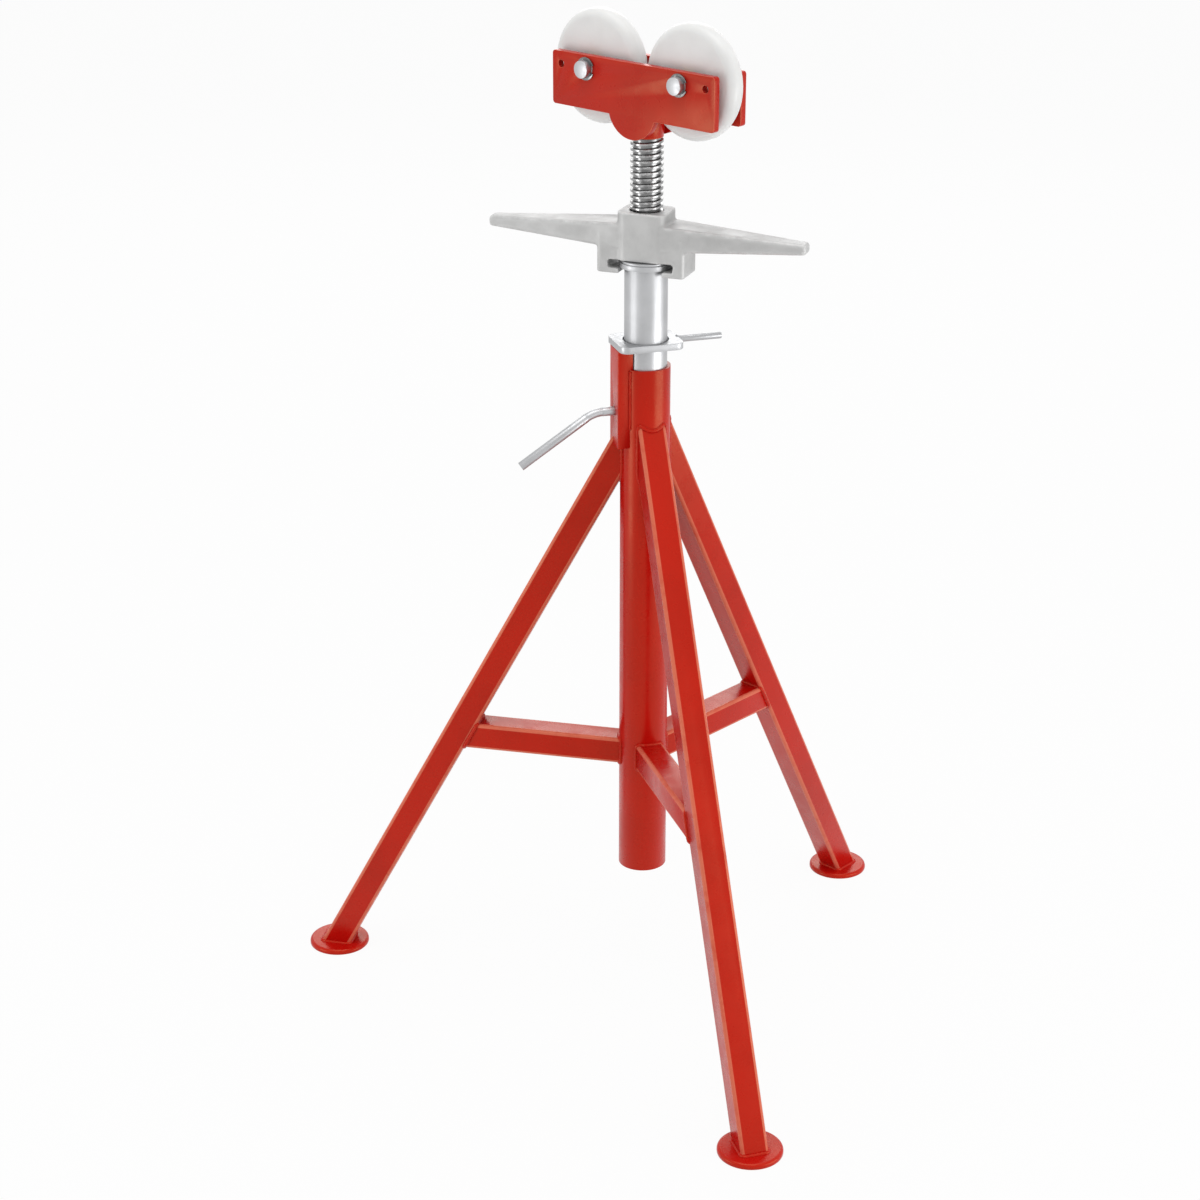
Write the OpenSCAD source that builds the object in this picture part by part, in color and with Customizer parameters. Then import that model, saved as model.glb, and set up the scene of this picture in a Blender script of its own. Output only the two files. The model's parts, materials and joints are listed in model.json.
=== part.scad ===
// Pipe roller support: a tripod stand with a screw jack and a head of two rollers.
// Z is up and the floor is at Z = 0, with the origin under the axis of the post.
// X runs along the roller head, and a pipe lies along Y across the two rollers.

/* [Feet and legs] */
// Radius of the circle through the centres of the feet
foot_circle_r = 307; // [260:1:350]
// Diameter of a foot disc
foot_d = 58; // [48:1:80]
// Thickness of a foot disc
foot_t = 5; // [4:0.5:10]
// Radius of the rounded upper edge of a foot disc
foot_edge_r = 3; // [1:0.5:3.5]
// Height at which the centrelines of the legs meet the axis of the post
leg_apex_z = 580; // [540:1:595]
// Width of the square leg tube
leg_w = 25.4; // [20:0.1:30]
// Wall of the square leg tube
leg_wall = 2.1; // [1.5:0.1:4]
// Outer corner radius of the square tubes
tube_corner_r = 3; // [1:0.5:4]
// Height of the middle of the braces
brace_z = 246; // [180:1:320]
// Width of the square brace tube
brace_w = 25.4; // [16:0.1:25.4]
// Wall of the square brace tube
brace_wall = 2.1; // [1.5:0.1:4]

/* [Post and inner tube] */
// Height of the open lower end of the post
post_bottom_z = 128; // [90:1:150]
// Height of the upper rim of the post above the meeting point of the legs
post_rise = 40; // [25:1:80]
// Wall of the post
post_wall = 3.05; // [2:0.05:5]
// Gap on each side between the post and the inner tube
slide_gap = 0.125; // [0.1:0.005:0.3]
// Wall of the inner tube
tube_wall = 3; // [2:0.1:5]
// Length of the inner tube
tube_l = 574; // [480:1:640]
// Height of the top of the inner tube above the rim of the post
tube_raise = 94; // [80:1:300]
// Width of the collar flange round the top of the inner tube
collar_flange = 5; // [3:0.5:8]
// Thickness of the collar
collar_t = 4.5; // [3:0.5:8]
// Thickness of the thrust washer on the inner tube
washer_t = 2; // [1:0.5:4]
// Distance of the washer edge inside the collar edge
washer_inset = 1; // [0.5:0.5:3]

/* [Clamp] */
// Direction of the clamp bracket round the post, in degrees
clamp_az = 240; // [230:1:250]
// Width of the clamp bracket
bracket_w = 25.4; // [20:0.1:30]
// Reach of the bracket outside the post
bracket_reach = 6.8; // [6:0.1:12]
// Thickness of the tapped outer wall of the bracket
bracket_wall = 5; // [3:0.1:5.5]
// Thickness of the side walls of the bracket
bracket_side = 3; // [2:0.1:5]
// Outer corner radius of the bracket
bracket_corner_r = 2; // [0.5:0.5:2.5]
// Length of the bracket
bracket_l = 89.5; // [70:0.5:110]
// Height of the bracket above the rim of the post
bracket_rise = 17.5; // [10:0.5:30]
// Gap between the bracket and the inner tube above the rim
bracket_tube_gap = 1.2; // [0.6:0.1:2]
// Depth of the clamp screw below the rim of the post
clamp_drop = 40; // [25:1:50]
// Diameter of the clamp screw rod
clamp_rod_d = 8; // [6:0.5:10]
// Straight length of the clamp screw outside the bracket
clamp_straight = 10; // [8:1:30]
// Radius of the bend in the clamp screw, to its centreline
clamp_bend_r = 30; // [12:1:40]
// Angle of the bend in the clamp screw, in degrees
clamp_bend = 33; // [20:1:60]
// Loss of diameter of the rod where it is bent
clamp_bend_loss = 0.4; // [0.2:0.1:1]
// Length of full rod over each end of the bend
clamp_bend_lap = 1; // [0.5:0.1:1.5]
// Length of the handle of the clamp screw past the bend
clamp_handle_l = 71; // [40:1:110]
// Diameter of the clamp pad
pad_d = 9.4; // [8:0.1:11]
// Thickness of the clamp pad
pad_t = 3; // [2:0.1:3.2]
// Gap round the clamp pad in its hole through the post
pad_gap = 0.3; // [0.2:0.05:0.6]

/* [Lock plate] */
// Length of the lock plate
lock_l = 58; // [56:1:80]
// Width of the lock plate
lock_w = 47; // [45:0.5:56]
// Thickness of the lock plate
lock_t = 6; // [4:0.5:8]
// Corner radius of the lock plate
lock_corner_r = 8; // [2:0.5:10]
// Gap round the inner tube in the hole of the lock plate
lock_gap = 1.4; // [1.2:0.1:1.8]
// Diameter of the lock lever rod
lever_d = 6; // [4:0.5:8]
// Length of the lock lever outside the plate
lever_l = 41; // [20:1:60]

/* [Jack nut] */
// Direction of the arms of the jack nut, in degrees
arm_az = 22; // [0:1:45]
// Distance from the axis to the tip of an arm
arm_reach = 145; // [110:1:180]
// Height of an arm at the boss
arm_root_h = 23.5; // [18:0.5:26]
// Height of an arm at the tip
arm_tip_h = 9.5; // [8:0.5:15]
// Step from the face of the boss back to an arm
arm_inset = 0.5; // [0.3:0.1:3]
// Depth of an arm at the tip
arm_tip_w = 15; // [10:0.5:20]
// Radius of the rounded edges of an arm
arm_edge_r = 2.5; // [1.5:0.5:3]
// Easing of the edges round the tip of an arm
arm_tip_ease = 1.5; // [0.5:0.1:2]
// Height of the middle of an arm above the seat of the nut
arm_mid_h = 21.5; // [16:0.5:26]
// Height of the tapped nut from its seat to the top of the boss
nut_h = 43; // [36:0.5:50]
// Step from the face of the boss back to a lug
lug_inset = 2; // [1:0.1:6]
// Corner radius of a lug
lug_corner_r = 3; // [2:0.5:6]
// Wall of a lug beside the collar
lug_wall = 10.2; // [8:0.1:16]
// Room between the collar and a lug
lug_room = 5.8; // [1:0.1:8]
// Thickness of the hook under the collar
hook_t = 4.8; // [3:0.1:8]
// Wall of the boss beside the screw, towards the arms
boss_side_wall = 7.6; // [6:0.1:12]
// Wall of the boss in front of the screw and behind it
boss_front_wall = 4.7; // [4:0.1:9]
// Corner radius of the boss
boss_corner_r = 8; // [3:0.5:10]
// Gap between a hook and the inner tube
hook_gap = 0.6; // [0.4:0.1:1.5]
// Running gap between parts that turn on one another
run_gap = 0.3; // [0.2:0.05:0.5]

/* [Jack screw] */
// Outer diameter of the jack screw
screw_d = 28.6; // [24:0.1:34]
// Room round the screw inside the inner tube
screw_room = 1.75; // [1:0.05:3]
// Gap on each side of the screw in the nut and of other close fits
thread_gap = 0.05; // [0.02:0.01:0.1]
// Length of screw in view between the nut and the head
screw_raise = 63; // [20:1:140]
// Length of screw below the seat of the nut
screw_drop = 84; // [60:1:140]
// Depth of the flats that seat the head plates
flat_depth = 0.5; // [0.4:0.05:2]

/* [Roller head] */
// Diameter of a roller
roller_d = 98; // [80:1:120]
// Gap between the two rollers
roller_gap = 7; // [3:0.5:12]
// Gap between a roller and a head plate
roller_room = 4.8; // [2:0.1:6]
// Gap between a roller and the top of the screw
roller_clear = 1.5; // [1:0.1:4]
// Radius of the rounded edges of a roller
roller_edge_r = 7.5; // [1:0.5:8]
// Wall of a roller bush
bush_wall = 2.5; // [1.5:0.1:4]
// Diameter of an axle
axle_d = 15; // [10:0.5:16]
// Length of an axle outside a head plate
axle_proud = 7; // [5:0.5:12]
// Depth of an axle below the upper edge of a head plate
axle_drop = 11.6; // [11:0.1:20]
// Thickness of an axle ring
ring_t = 1.2; // [0.8:0.1:2]
// Width of an axle ring
ring_w = 3; // [2:0.1:4]
// Depth of the groove for an axle ring
groove_depth = 0.7; // [0.4:0.1:1.2]
// Thickness of a head plate
plate_t = 6.35; // [3:0.05:8]
// Height of the bar of a head plate
plate_h = 46; // [36:0.5:60]
// Length of a head plate past the axle
plate_end = 39; // [26:0.5:60]
// Corner radius of a head plate
plate_corner_r = 3; // [1:0.5:6]
// Diameter of the round stem of a head plate
stem_d = 54; // [44:0.5:64]
// Height of the stem below the bar
stem_h = 19; // [12:0.5:30]
// Diameter of the holes near the ends of a head plate
end_hole_d = 6.6; // [4:0.1:10]
// Distance of those holes from the ends
end_hole_inset = 10; // [8:0.1:14]
// Depth of those holes below the upper edge
end_hole_drop = 11; // [8:0.1:16]

/* [Hidden] */
$fn = 64;

// Directions of the three legs round the post
left_az = 210;
front_az = 330;
right_az = 90;
leg_azimuths = [left_az, front_az, right_az];

// Colours of the finishes
red_paint = [0.76, 0.16, 0.13];
plated = [0.80, 0.81, 0.83];
bare_casting = [0.73, 0.73, 0.73];
dark_steel = [0.42, 0.42, 0.43];
nylon = [0.90, 0.90, 0.88];
bronze = [0.72, 0.55, 0.30];

// Nested round sections, from the screw out to the post
tube_id = screw_d + 2 * screw_room;
tube_od = tube_id + 2 * tube_wall;
post_id = tube_od + 2 * slide_gap;
post_od = post_id + 2 * post_wall;
collar_od = tube_od + 2 * collar_flange;

// Lean and run of a leg from the top of its foot to the axis of the post
leg_rise = leg_apex_z - foot_t;
leg_lean = atan(foot_circle_r / leg_rise);
leg_run = norm([foot_circle_r, leg_rise]);
cut_span = 2 * foot_circle_r;

// Heights from the rim of the post upwards
post_top_z = leg_apex_z + post_rise;
post_l = post_top_z - post_bottom_z;
bracket_top_z = post_top_z + bracket_rise;
bracket_r = post_od / 2 + bracket_reach;
clamp_z = post_top_z - clamp_drop;
lock_z = bracket_top_z + run_gap;
tube_top_z = post_top_z + tube_raise;
collar_z = tube_top_z - collar_t;
nut_seat_z = tube_top_z + washer_t + run_gap;
hook_top_z = collar_z - run_gap;
lug_bottom_z = hook_top_z - hook_t;
boss_top_z = nut_seat_z + nut_h;

// Clamp pad and clamp screw along the axis of the clamp
pad_r = tube_od / 2 + thread_gap;
clamp_tip_r = pad_r + pad_t + thread_gap;
clamp_bend_start = bracket_r + clamp_straight;

// Jack nut
slot_w = collar_od + 2 * lug_room;
throat_w = tube_od + 2 * hook_gap;
lug_span = slot_w + 2 * lug_wall;
arm_mid_z = nut_seat_z + arm_mid_h;
nut_bore_d = screw_d + 2 * thread_gap;
boss_w = nut_bore_d + 2 * boss_side_wall;
boss_depth = nut_bore_d + 2 * boss_front_wall;
arm_root_w = boss_depth - 2 * arm_inset;
lug_w = boss_depth - 2 * lug_inset;

// Roller head
stem_bottom_z = boss_top_z + screw_raise;
plate_bottom_z = stem_bottom_z + stem_h;
plate_top_z = plate_bottom_z + plate_h;
axle_z = plate_top_z - axle_drop;
axle_x = (roller_d + roller_gap) / 2;
plate_l = 2 * (axle_x + plate_end);
head_gap = screw_d - 2 * flat_depth;
roller_w = head_gap - 2 * roller_room;
bush_id = axle_d + 2 * thread_gap;
bush_od = bush_id + 2 * bush_wall;
bush_l = head_gap - 2 * run_gap;
groove_d = axle_d - 2 * groove_depth;
axle_l = head_gap + 2 * plate_t + 2 * axle_proud;
screw_bottom_z = nut_seat_z - screw_drop;
screw_top_z = axle_z - sqrt(pow(roller_d / 2 + roller_clear, 2) - pow(axle_x - screw_d / 2, 2));

// Rectangle with round corners, centred on the origin
module rounded_rect(l, w, r) {
    square([l, w - 2 * r], center = true);
    square([l - 2 * r, w], center = true);
    for (x = [-1, 1], y = [-1, 1])
        translate([x * (l / 2 - r), y * (w / 2 - r)]) circle(r = r);
}

module square_tube_section(w, wall) {
    difference() {
        rounded_rect(w, w, tube_corner_r);
        square(w - 2 * wall, center = true);
    }
}

// Flat ring that stands on the plane Z = 0
module ring(outer_d, inner_d, h) {
    linear_extrude(h) difference() {
        circle(d = outer_d);
        circle(d = inner_d);
    }
}

// Frame of a leg: its axis along Z from the foot, its outer face towards +X
module on_leg(az) {
    rotate([0, 0, az]) translate([foot_circle_r, 0, foot_t]) rotate([0, -leg_lean, 0]) children();
}

// Straight bar along a leg, from below the foot to the axis of the post
module leg_bar(az) {
    on_leg(az) translate([0, 0, -leg_w]) linear_extrude(leg_w + leg_run) children();
}

module post_envelope() {
    translate([0, 0, post_bottom_z]) cylinder(d = post_od, h = post_l);
}

module leg(az) {
    color(red_paint) difference() {
        leg_bar(az) square_tube_section(leg_w, leg_wall);
        post_envelope();
        translate([-cut_span, -cut_span, -cut_span]) cube([2 * cut_span, 2 * cut_span, cut_span + foot_t]);
    }
}

// Level tube from the post to the inner face of a leg
module brace(az) {
    color(red_paint) difference() {
        rotate([0, 0, az]) translate([0, 0, brace_z]) rotate([0, 90, 0])
            linear_extrude(foot_circle_r) square_tube_section(brace_w, brace_wall);
        post_envelope();
        on_leg(az) translate([-leg_w / 2, -cut_span / 2, -cut_span])
            cube([cut_span, cut_span, 2 * cut_span]);
    }
}

module foot(az) {
    color(red_paint) rotate([0, 0, az]) translate([foot_circle_r, 0, 0]) rotate_extrude() {
        square([foot_d / 2 - foot_edge_r, foot_t]);
        square([foot_d / 2, foot_t - foot_edge_r]);
        translate([foot_d / 2 - foot_edge_r, foot_t - foot_edge_r]) intersection() {
            circle(r = foot_edge_r);
            square(foot_edge_r);
        }
    }
}

// Frame of the clamp: its axis along +X, out of the post
module on_clamp() {
    rotate([0, 0, clamp_az]) translate([0, 0, clamp_z]) children();
}

module clamp_bore(d) {
    on_clamp() rotate([0, 90, 0]) cylinder(d = d, h = 2 * bracket_r);
}

module outer_post() {
    color(red_paint) difference() {
        translate([0, 0, post_bottom_z]) ring(post_od, post_id, post_l);
        clamp_bore(pad_d + 2 * pad_gap);
    }
}

// Channel outline of the bracket, open towards the post
module bracket_section() {
    difference() {
        union() {
            translate([0, -bracket_w / 2]) square([bracket_r - bracket_corner_r, bracket_w]);
            translate([bracket_r - bracket_w / 2, 0])
                rounded_rect(bracket_w, bracket_w, bracket_corner_r);
        }
        translate([-bracket_r, bracket_side - bracket_w / 2])
            square([2 * bracket_r - bracket_wall, bracket_w - 2 * bracket_side]);
    }
}

module clamp_bracket() {
    color(red_paint) difference() {
        rotate([0, 0, clamp_az]) translate([0, 0, bracket_top_z - bracket_l])
            linear_extrude(bracket_l) bracket_section();
        post_envelope();
        translate([0, 0, post_top_z]) cylinder(d = tube_od + 2 * bracket_tube_gap, h = 2 * bracket_rise);
        clamp_bore(clamp_rod_d + 2 * thread_gap);
        for (az = leg_azimuths) leg_bar(az) rounded_rect(leg_w, leg_w, tube_corner_r);
    }
}

// Plain rod with a bent handle that hangs below the clamp axis
module clamp_screw() {
    color(plated) on_clamp() {
        translate([clamp_tip_r, 0, 0]) rotate([0, 90, 0])
            cylinder(d = clamp_rod_d, h = clamp_bend_start + clamp_bend_lap - clamp_tip_r);
        translate([clamp_bend_start, 0, -clamp_bend_r]) {
            rotate([90, 0, 0]) rotate([0, 0, 90 - clamp_bend]) rotate_extrude(angle = clamp_bend)
                translate([clamp_bend_r, 0]) circle(d = clamp_rod_d - clamp_bend_loss);
            translate([clamp_bend_r * sin(clamp_bend), 0, clamp_bend_r * cos(clamp_bend)])
                rotate([0, 90 + clamp_bend, 0]) translate([0, 0, -clamp_bend_lap])
                    cylinder(d = clamp_rod_d, h = clamp_handle_l + clamp_bend_lap);
        }
    }
}

module clamp_pad() {
    color(bronze) on_clamp() translate([pad_r, 0, 0]) rotate([0, 90, 0]) cylinder(d = pad_d, h = pad_t);
}

module lock_plate() {
    color(plated) translate([0, 0, lock_z]) rotate([0, 0, clamp_az]) linear_extrude(lock_t) difference() {
        rounded_rect(lock_l, lock_w, lock_corner_r);
        circle(d = tube_od + 2 * lock_gap);
    }
}

// Rod that stands out of the end of the lock plate, opposite the clamp
module lock_lever() {
    color(plated) rotate([0, 0, clamp_az + 180]) translate([lock_l / 2, 0, lock_z + lock_t / 2])
        rotate([0, 90, 0]) cylinder(d = lever_d, h = lever_l);
}

module inner_tube() {
    color(plated) translate([0, 0, tube_top_z - tube_l]) ring(tube_od, tube_id, tube_l);
}

module tube_collar() {
    color(plated) translate([0, 0, collar_z]) ring(collar_od, tube_od, collar_t);
}

module thrust_washer() {
    color(plated) translate([0, 0, tube_top_z]) ring(collar_od - 2 * washer_inset, tube_id, washer_t);
}

// Thin upright section of an arm at a distance along it, with rounded corners
module arm_slice(x, w, h) {
    translate([x, 0, arm_mid_z]) rotate([90, 0, 90])
        linear_extrude(0.01, center = true) rounded_rect(w, h, arm_edge_r, $fn = 32);
}

// Both arms in one hull, thickest at the boss, with eased tips
module nut_arms() {
    hull() {
        for (side = [-1, 1]) {
            arm_slice(side * (boss_w / 2 - boss_corner_r), arm_root_w, arm_root_h);
            arm_slice(side * (arm_reach - arm_tip_ease), arm_tip_w, arm_tip_h);
            arm_slice(side * arm_reach, arm_tip_w - 2 * arm_tip_ease, arm_tip_h - 2 * arm_tip_ease);
        }
    }
}

// Tapped boss with two arms, and lugs under them that hook below the collar of the inner tube
module jack_nut() {
    color(bare_casting) rotate([0, 0, arm_az]) difference() {
        union() {
            translate([0, 0, lug_bottom_z]) linear_extrude(arm_mid_z - lug_bottom_z)
                rounded_rect(lug_span, lug_w, lug_corner_r);
            nut_arms();
            translate([0, 0, nut_seat_z]) linear_extrude(nut_h) rounded_rect(boss_w, boss_depth, boss_corner_r);
        }
        translate([-slot_w / 2, -lug_w, hook_top_z]) cube([slot_w, 2 * lug_w, nut_seat_z - hook_top_z]);
        translate([-throat_w / 2, -lug_w, lug_bottom_z - hook_t])
            cube([throat_w, 2 * lug_w, nut_seat_z - lug_bottom_z]);
        translate([0, 0, lug_bottom_z]) cylinder(d = nut_bore_d, h = 2 * nut_h);
    }
}

// Screw with two flats at its top, where the head plates are welded on
module jack_screw() {
    color(dark_steel) difference() {
        translate([0, 0, screw_bottom_z]) cylinder(d = screw_d, h = screw_top_z - screw_bottom_z);
        for (side = [-1, 1])
            translate([-screw_d, side * (head_gap / 2 + screw_d / 2) - screw_d / 2, stem_bottom_z])
                cube([2 * screw_d, screw_d, screw_top_z - stem_bottom_z + flat_depth]);
    }
}

// Outline of a head plate: a bar over a round stem, drawn in X and Z
module head_plate_section() {
    difference() {
        union() {
            translate([0, plate_bottom_z + plate_h / 2]) rounded_rect(plate_l, plate_h, plate_corner_r);
            translate([0, stem_bottom_z + stem_d / 2]) circle(d = stem_d);
        }
        for (side = [-1, 1]) {
            translate([side * axle_x, axle_z]) circle(d = axle_d + 2 * thread_gap);
            translate([side * (plate_l / 2 - end_hole_inset), plate_top_z - end_hole_drop])
                circle(d = end_hole_d);
        }
    }
}

module head_plate(back_y) {
    color(red_paint) translate([0, back_y, 0]) rotate([90, 0, 0]) linear_extrude(plate_t) head_plate_section();
}

// Frame of an axle: its axis along Z, which points to the front of the head
module on_axle(side) {
    translate([side * axle_x, 0, axle_z]) rotate([90, 0, 0]) children();
}

// Half section of a roller, drawn in radius and width
module roller_section() {
    web = (roller_d - bush_od) / 2;
    translate([bush_od / 2, 0]) {
        translate([0, -roller_w / 2]) square([web - roller_edge_r, roller_w]);
        translate([0, roller_edge_r - roller_w / 2]) square([web, roller_w - 2 * roller_edge_r]);
        for (y = [-1, 1])
            translate([web - roller_edge_r, y * (roller_w / 2 - roller_edge_r)]) circle(r = roller_edge_r);
    }
}

module roller(side) {
    color(nylon) on_axle(side) rotate_extrude() roller_section();
}

module bush(side) {
    color(bronze) on_axle(side) translate([0, 0, -bush_l / 2]) ring(bush_od, bush_id, bush_l);
}

module axle(side) {
    color(plated) on_axle(side) difference() {
        cylinder(d = axle_d, h = axle_l, center = true);
        for (end = [0, 180])
            rotate([end, 0, 0]) translate([0, 0, head_gap / 2 + plate_t]) ring(2 * axle_d, groove_d, ring_t);
    }
}

// Open ring in the groove of an axle, against a head plate
module axle_ring(side, end) {
    color(dark_steel) on_axle(side) rotate([end, 0, 0]) translate([0, 0, head_gap / 2 + plate_t])
        linear_extrude(ring_t) difference() {
            circle(d = groove_d + 2 * ring_w);
            circle(d = groove_d);
            translate([0, -groove_d / 4]) square([axle_d, groove_d / 2]);
        }
}

outer_post();
clamp_bracket();
leg(left_az);  // leg_left
leg(front_az);  // leg_front
leg(right_az);  // leg_right
brace(left_az);  // brace_left
brace(front_az);  // brace_front
brace(right_az);  // brace_right
foot(left_az);  // foot_left
foot(front_az);  // foot_front
foot(right_az);  // foot_right
clamp_screw();
clamp_pad();
lock_plate();
lock_lever();
inner_tube();
tube_collar();
thrust_washer();
jack_nut();
jack_screw();
head_plate(-head_gap / 2);  // head_plate_front
head_plate(head_gap / 2 + plate_t);  // head_plate_back
roller(-1);  // roller_left
roller(1);  // roller_right
bush(-1);  // bush_left
bush(1);  // bush_right
axle(-1);  // axle_left
axle(1);  // axle_right
axle_ring(-1, 0);  // ring_left_front
axle_ring(-1, 180);  // ring_left_back
axle_ring(1, 0);  // ring_right_front
axle_ring(1, 180);  // ring_right_back
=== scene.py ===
"""Looks of a pipe roller support: a tripod stand with a screw jack and a head of two rollers."""

import json
import math
import random

import bpy
from mathutils import Matrix, Vector


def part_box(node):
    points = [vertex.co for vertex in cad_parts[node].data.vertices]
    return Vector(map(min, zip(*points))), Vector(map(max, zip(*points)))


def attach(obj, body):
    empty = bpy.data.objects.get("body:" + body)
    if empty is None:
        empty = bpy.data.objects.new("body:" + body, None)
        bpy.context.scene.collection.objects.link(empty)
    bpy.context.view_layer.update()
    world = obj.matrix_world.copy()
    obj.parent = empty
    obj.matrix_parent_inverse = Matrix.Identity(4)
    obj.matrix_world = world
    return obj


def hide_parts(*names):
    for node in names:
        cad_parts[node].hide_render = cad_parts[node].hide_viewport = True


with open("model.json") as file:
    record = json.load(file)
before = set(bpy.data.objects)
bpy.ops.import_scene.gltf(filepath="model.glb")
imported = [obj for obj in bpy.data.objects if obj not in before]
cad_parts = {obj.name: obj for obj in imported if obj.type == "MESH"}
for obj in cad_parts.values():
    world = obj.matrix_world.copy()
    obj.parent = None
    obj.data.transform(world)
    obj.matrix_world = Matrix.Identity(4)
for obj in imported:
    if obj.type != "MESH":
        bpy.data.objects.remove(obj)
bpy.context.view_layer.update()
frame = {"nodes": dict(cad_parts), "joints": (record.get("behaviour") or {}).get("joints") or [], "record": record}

bl_info = {
    "name": "Pipe Roller Support",
    "version": (1, 0, 0),
    "blender": (4, 5, 0),
    "location": "3D View > Sidebar > Pipe Support",
    "description": "Dresses the solids of a tripod pipe stand with threads, weld beads and finishes",
    "category": "Object",
}

# Places and sizes of the stand, read from its solids
POST_LOW, POST_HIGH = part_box("outer_post")
POST_R = (POST_HIGH.x - POST_LOW.x) / 2
FOOT_LOW, FOOT_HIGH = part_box("foot_right")
FOOT_CIRCLE_R = (FOOT_LOW.y + FOOT_HIGH.y) / 2
FOOT_TOP = FOOT_HIGH.z
LEG_LOW, LEG_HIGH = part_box("leg_right")
LEG_W = LEG_HIGH.x - LEG_LOW.x
LEG_LEAN = math.acos(LEG_W / 2 / (LEG_HIGH.y - FOOT_CIRCLE_R))
BRACE_LOW, BRACE_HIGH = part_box("brace_right")
BRACE_W = BRACE_HIGH.x - BRACE_LOW.x
BRACE_Z = (BRACE_LOW.z + BRACE_HIGH.z) / 2
SCREW_LOW, SCREW_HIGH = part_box("jack_screw")
SCREW_R = SCREW_HIGH.x
STEM_LOW, STEM_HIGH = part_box("head_plate_front")
HEAD_HALF_GAP = -STEM_HIGH.y
JOINTS = {joint["name"]: joint for joint in frame["joints"]}
CLAMP_OUT = Vector(JOINTS["clamp_pad_slide"]["axis"]).normalized()
CLAMP_AZ = math.atan2(CLAMP_OUT.y, CLAMP_OUT.x)


def span(node, direction):
    """Least and greatest place of a solid along a direction."""
    places = [vertex.co.dot(direction) for vertex in frame["nodes"][node].data.vertices]
    return min(places), max(places)


BRACKET_W = 2 * span("clamp_bracket", Vector((-CLAMP_OUT.y, CLAMP_OUT.x, 0)))[1]
LOCK_END = -span("lock_plate", CLAMP_OUT)[0]

TUBE_CORNER_R = 0.003
# Least length of a corner face of a square tube, in radii of the corner
CORNER_SLENDER = 8
# Height over the stems' lower ends at which the tang is cut, clear of the shoulder under it
TANG_LIFT = 0.0002
LEG_AZIMUTHS = {"left": math.radians(210), "front": math.radians(330), "right": math.radians(90)}
SIDES = ("left", "right")
ENDS = ("front", "back")

# How far a fine weld stands out of its corner, and how far it stops under the rim
SEAM_OUT = 0.0004
SEAM_STOP = 0.001
# Bare ends of the head's welds, at the stems' lower ends and at the screw's top
HEAD_WELD_LOW = 0.003
HEAD_WELD_HIGH = 0.002
# Shares of a bead's radius between which its dips and its ridges are drawn
BEAD_DIP = (0.70, 0.80)
BEAD_RIDGE = (0.92, 1.08)
# Flat, flank and eased corner of the jack screw's thread, as shares of its pitch
THREAD_SHARES = (0.37, 0.13, 0.05)
# Softening of the casting: how far in one pass, and how many passes
CAST_FACTOR = 0.5
CAST_PASSES = 6

# Distance within which the loose corners of a copied solid are one corner
WELD_DISTANCE = 2e-6
# Angle under which two faces of a copied solid are one flat face
FLAT_ANGLE = math.radians(0.3)
# Angle past which an edge is rounded, and past which it shades sharp
EDGE_ANGLE = math.radians(28)
# Name of the mask that marks worn edges and, on the square tubes' round corners, a painted highlight; and the lift
# that counts as a full crest
EDGE_WEAR_AND_HIGHLIGHT = "edge_wear_and_highlight"
CREST_LIFT = 0.5

# Lamps: place, height that they face on the axis, width and height
LAMPS = {
    "left_box": ((-0.72, -1.54, 0.4), 0.4, (0.6, 0.8)),
    "right_box": ((1.63, 0.50, 0.4), 0.4, (1.2, 0.8)),
    "top_light": ((0.2, -0.4, 3.3), 0.5, (2.0, 2.0)),
    "back_light": ((-2.2, 2.4, 1.9), 0.4, (2.6, 1.2)),
}
# Width of the camera's frame in mm, sides of the round floor, its grey, and the white of the world
FRAME_W = 36
FLOOR_SIDES = 96
FLOOR_GREY = (0.72, 0.72, 0.72, 1)
WORLD_WHITE = 0.97
WHITE = (1, 1, 1, 1)


class StandSizes(bpy.types.PropertyGroup):
    """Sizes of the details that are added to the solids."""

    edge_round: bpy.props.FloatProperty(
        name="Edge round", description="Radius of the worn edges of plates and tubes",
        default=0.0006, min=0.0001, max=0.002, unit="LENGTH")
    fine_round: bpy.props.FloatProperty(
        name="Fine edge round", description="Radius of the edges of pins, rings and washers",
        default=0.0003, min=0.0001, max=0.001, unit="LENGTH")
    thread_pitch: bpy.props.FloatProperty(
        name="Thread pitch", description="Rise of the jack screw's thread in one turn",
        default=0.00508, min=0.003, max=0.008, unit="LENGTH")
    thread_depth: bpy.props.FloatProperty(
        name="Thread depth", description="Depth of the jack screw's thread",
        default=0.0024, min=0.001, max=0.004, unit="LENGTH")
    thread_steps: bpy.props.IntProperty(
        name="Thread steps", description="Faces in one turn of the thread",
        default=48, min=16, max=96)
    bead_radius: bpy.props.FloatProperty(
        name="Weld bead", description="Radius of a weld bead",
        default=0.0021, min=0.001, max=0.004, unit="LENGTH")
    bead_step: bpy.props.FloatProperty(
        name="Weld ripple", description="Distance between the ripples of a weld bead",
        default=0.0024, min=0.001, max=0.005, unit="LENGTH")
    seam_radius: bpy.props.FloatProperty(
        name="Fine weld", description="Radius of the finer weld beads of bracket, lever and head",
        default=0.0013, min=0.0006, max=0.003, unit="LENGTH")
    casting_voxel: bpy.props.FloatProperty(
        name="Casting grain", description="Face size of the jack nut's rounded casting",
        default=0.0011, min=0.0008, max=0.003, unit="LENGTH")


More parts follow.
